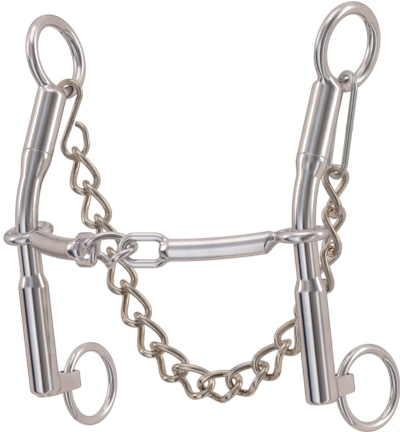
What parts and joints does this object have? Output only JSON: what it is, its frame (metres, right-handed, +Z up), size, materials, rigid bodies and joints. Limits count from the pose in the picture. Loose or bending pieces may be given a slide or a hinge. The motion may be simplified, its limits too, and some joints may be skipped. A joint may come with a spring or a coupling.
{
  "type": "curb bit",
  "caption": "Loose-cheek curb bit: jointed mouthpiece with a twisted centre link, curved barrel shanks with headstall and rein rings, and an S-hooked curb chain.",
  "frame": {"origin": "on the mouth axis, midway between the two eyes of the mouthpiece that run on the slide rods", "axes": "+X along the mouth axis, from the bit's left cheek to its right cheek as seen from the mouthpiece side; +Y rearward, from the mouthpiece towards the curb chain and reins; +Z up, towards the headstall rings. The bit is stored as it hangs on the headstall, level."},
  "size_m": [0.1464, 0.0853, 0.1536],
  "materials": {
    "polished_steel": "polished stainless steel with fine handling scratches",
    "satin_steel": "satin stainless steel, blued a little at the welds",
    "chain_nickel": "bright nickel plate with a warm tone",
    "link_zinc": "zinc plated wire"
  },
  "bodies": {
    "cheek_left": {"cheek_left_top": "polished_steel", "cheek_left_shank": "polished_steel"},
    "rein_ring_left": {"rein_ring_left": "polished_steel"},
    "mouth_arm_left": {"mouth_arm_left": "satin_steel"},
    "centre_link": {"centre_link": "satin_steel"},
    "mouth_arm_right": {"mouth_arm_right": "satin_steel"},
    "cheek_right": {"cheek_right_top": "polished_steel", "cheek_right_shank": "polished_steel"},
    "rein_ring_right": {"rein_ring_right": "polished_steel"},
    "s_hook": {"s_hook": "chain_nickel"},
    "curb_link_01": {"curb_link_01": "chain_nickel"},
    "curb_link_02": {"curb_link_02": "chain_nickel"},
    "curb_link_03": {"curb_link_03": "chain_nickel"},
    "curb_link_04": {"curb_link_04": "chain_nickel"},
    "curb_link_05": {"curb_link_05": "chain_nickel"},
    "curb_link_06": {"curb_link_06": "chain_nickel"},
    "curb_link_07": {"curb_link_07": "chain_nickel"},
    "curb_link_08": {"curb_link_08": "chain_nickel"},
    "curb_link_09": {"curb_link_09": "chain_nickel"},
    "curb_link_10": {"curb_link_10": "chain_nickel"},
    "curb_link_11": {"curb_link_11": "chain_nickel"},
    "curb_link_12": {"curb_link_12": "chain_nickel"},
    "curb_link_13": {"curb_link_13": "chain_nickel"},
    "curb_link_14": {"curb_link_14": "chain_nickel"},
    "curb_link_15": {"curb_link_15": "chain_nickel"},
    "curb_link_16": {"curb_link_16": "chain_nickel"},
    "oval_link": {"oval_link": "link_zinc"}
  },
  "joints": [
    {"name": "rein_ring_left_hinge", "type": "hinge", "parent": "cheek_left", "child": "rein_ring_left", "pos_m": [-0.0635, 0.022, -0.0546], "axis": [0, 0, 1], "range_deg": [-60, 60]},
    {"name": "mouth_arm_left_hinge", "type": "hinge", "parent": "cheek_left", "child": "mouth_arm_left", "pos_m": [-0.0635, 0, 0], "axis": [1, 0, 0], "range_deg": [-11, 0]},
    {"name": "centre_link_hinge", "type": "hinge", "parent": "mouth_arm_left", "child": "centre_link", "pos_m": [-0.00769, -0.0288, -0.0056], "axis": [0.9246, 0.374, 0.0727], "range_deg": [-6, 6]},
    {"name": "mouth_arm_right_hinge", "type": "hinge", "parent": "centre_link", "child": "mouth_arm_right", "pos_m": [0.00769, -0.0288, -0.0056], "axis": [-0.8851, -0.4568, -0.0888], "range_deg": [-8, 5]},
    {"name": "cheek_right_hinge", "type": "hinge", "parent": "cheek_left", "child": "cheek_right", "pos_m": [0.0635, 0, 0], "axis": [0.0333, 0.3908, 0.9199], "range_deg": [-15, 10]},
    {"name": "rein_ring_right_hinge", "type": "hinge", "parent": "cheek_right", "child": "rein_ring_right", "pos_m": [0.0635, 0.022, -0.0526], "axis": [0, 0, 1], "range_deg": [-60, 60]},
    {"name": "s_hook_hinge", "type": "hinge", "parent": "cheek_left", "child": "s_hook", "pos_m": [-0.0656, 0.02412, 0.05481], "axis": [1, -0.0074, -0.0023], "range_deg": [-3, 25]},
    {"name": "curb_link_01_hinge", "type": "hinge", "parent": "s_hook", "child": "curb_link_01", "pos_m": [-0.0611, 0.024, 0.0295], "axis": [0.981, -0.0065, 0.1938], "range_deg": [-10, 10]},
    {"name": "curb_link_02_hinge", "type": "hinge", "parent": "curb_link_01", "child": "curb_link_02", "pos_m": [-0.05573, 0.024, 0.01695], "axis": [-0.9552, 0.0066, -0.296], "range_deg": [-10, 10]},
    {"name": "curb_link_03_hinge", "type": "hinge", "parent": "curb_link_02", "child": "curb_link_03", "pos_m": [-0.05017, 0.024, 0.00448], "axis": [0.9178, -0.0067, 0.3971], "range_deg": [-10, 10]},
    {"name": "curb_link_04_hinge", "type": "hinge", "parent": "curb_link_03", "child": "curb_link_04", "pos_m": [-0.04408, 0.024, -0.00774], "axis": [-0.8694, 0.0067, -0.494], "range_deg": [-10, 10]},
    {"name": "curb_link_05_hinge", "type": "hinge", "parent": "curb_link_04", "child": "curb_link_05", "pos_m": [-0.03749, 0.024, -0.0197], "axis": [0.8112, -0.0066, 0.5847], "range_deg": [-10, 10]},
    {"name": "curb_link_06_hinge", "type": "hinge", "parent": "curb_link_05", "child": "curb_link_06", "pos_m": [-0.03064, 0.024, -0.0315], "axis": [-0.7452, 0.0065, -0.6669], "range_deg": [-10, 10]},
    {"name": "curb_link_07_hinge", "type": "hinge", "parent": "curb_link_06", "child": "curb_link_07", "pos_m": [-0.02256, 0.024, -0.04246], "axis": [0.6721, -0.0064, 0.7404], "range_deg": [-10, 10]},
    {"name": "curb_link_08_hinge", "type": "hinge", "parent": "curb_link_07", "child": "curb_link_08", "pos_m": [-0.01177, 0.024, -0.05078], "axis": [-0.5915, 0.0065, -0.8063], "range_deg": [-10, 10]},
    {"name": "curb_link_09_hinge", "type": "hinge", "parent": "curb_link_08", "child": "curb_link_09", "pos_m": [0.00081, 0.024, -0.05587], "axis": [0.5054, -0.0066, 0.8628], "range_deg": [-10, 10]},
    {"name": "curb_link_10_hinge", "type": "hinge", "parent": "curb_link_09", "child": "curb_link_10", "pos_m": [0.01427, 0.024, -0.05458], "axis": [-0.4249, 0.007, -0.9052], "range_deg": [-10, 10]},
    {"name": "curb_link_11_hinge", "type": "hinge", "parent": "curb_link_10", "child": "curb_link_11", "pos_m": [0.0267, 0.024, -0.049], "axis": [0.3507, -0.0076, 0.9364], "range_deg": [-10, 10]},
    {"name": "curb_link_12_hinge", "type": "hinge", "parent": "curb_link_11", "child": "curb_link_12", "pos_m": [0.03693, 0.024, -0.04003], "axis": [-0.289, 0.0085, -0.9573], "range_deg": [-10, 10]},
    {"name": "curb_link_13_hinge", "type": "hinge", "parent": "curb_link_12", "child": "curb_link_13", "pos_m": [0.04564, 0.024, -0.02951], "axis": [0.2298, -0.0098, 0.9732], "range_deg": [-10, 10]},
    {"name": "curb_link_14_hinge", "type": "hinge", "parent": "curb_link_13", "child": "curb_link_14", "pos_m": [0.05337, 0.024, -0.01828], "axis": [-0.164, 0.0114, -0.9864], "range_deg": [-10, 10]},
    {"name": "curb_link_15_hinge", "type": "hinge", "parent": "curb_link_14", "child": "curb_link_15", "pos_m": [0.05777, 0.024, -0.00544], "axis": [0.1275, -0.0139, 0.9917], "range_deg": [-10, 10]},
    {"name": "curb_link_16_hinge", "type": "hinge", "parent": "curb_link_15", "child": "curb_link_16", "pos_m": [0.05885, 0.024, 0.00816], "axis": [-0.1414, 0.018, -0.9898], "range_deg": [-10, 10]},
    {"name": "oval_link_hinge", "type": "hinge", "parent": "curb_link_16", "child": "oval_link", "pos_m": [0.0595, 0.024, 0.0218], "axis": [0.1796, -0.0253, 0.9834], "range_deg": [-4, 15]}
  ]
}
